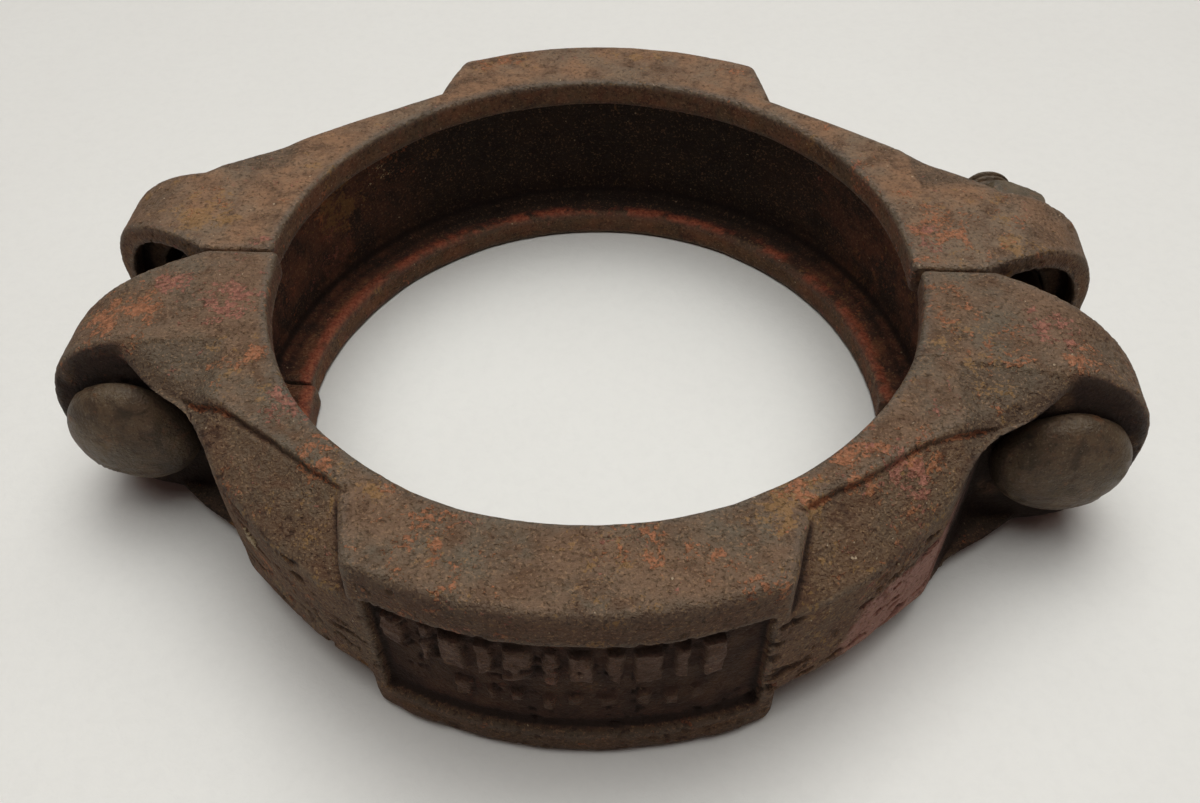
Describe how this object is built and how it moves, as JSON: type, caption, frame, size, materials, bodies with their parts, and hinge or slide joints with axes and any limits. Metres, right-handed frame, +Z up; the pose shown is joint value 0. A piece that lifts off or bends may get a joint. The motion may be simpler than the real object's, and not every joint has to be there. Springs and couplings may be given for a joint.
{
  "type": "grooved pipe coupling",
  "caption": "Rusty cast housing coupling in two halves that grips the grooved ends of two pipes, clamped by track-head bolts and hex nuts.",
  "frame": {"origin": "on the pipe axis at mid-width, halfway between the two housing halves", "axes": "+Z along the pipe axis, +X from ear to ear, +Y from the bolt heads towards the nuts; the coupling lies flat with Z up"},
  "size_m": [0.2778, 0.2118, 0.059],
  "materials": {
    "front_housing": "rusty as-cast",
    "rear_housing": "rusty as-cast",
    "left_bolt": "dull dark oxide",
    "right_bolt": "dull dark oxide",
    "left_nut": "rusty",
    "right_nut": "rusty"
  },
  "bodies": {
    "front_half": {"front_housing": "front_housing"},
    "rear_half": {"rear_housing": "rear_housing"},
    "left_bolt": {"left_bolt": "left_bolt"},
    "right_bolt": {"right_bolt": "right_bolt"},
    "left_nut": {"left_nut": "left_nut"},
    "right_nut": {"right_nut": "right_nut"}
  },
  "joints": [
    {"name": "rear_half_opening", "type": "slide", "parent": "front_half", "child": "rear_half", "axis": [0, 1, 0], "range_m": [0, 0.009]},
    {"name": "left_bolt_slide", "type": "slide", "parent": "front_half", "child": "left_bolt", "axis": [0, -1, 0], "range_m": [0, 0.0045]},
    {"name": "right_bolt_slide", "type": "slide", "parent": "front_half", "child": "right_bolt", "axis": [0, -1, 0], "range_m": [0, 0.0045]},
    {"name": "left_nut_turn", "type": "hinge", "parent": "rear_half", "child": "left_nut", "pos_m": [-0.11635, 0.043, -0.0003], "axis": [0, 1, 0], "range_deg": [0, 2110]},
    {"name": "right_nut_turn", "type": "hinge", "parent": "rear_half", "child": "right_nut", "pos_m": [0.11825, 0.05, -0.0003], "axis": [0, 1, 0], "range_deg": [0, 2110]}
  ],
  "couplings": [
    {"joint": "left_bolt_slide", "follows": "rear_half_opening", "ratio": 0.5},
    {"joint": "right_bolt_slide", "follows": "rear_half_opening", "ratio": 0.5},
    {"joint": "left_nut_turn", "follows": "rear_half_opening", "rad_per_m": 4081.6},
    {"joint": "right_nut_turn", "follows": "rear_half_opening", "rad_per_m": 4081.6}
  ]
}
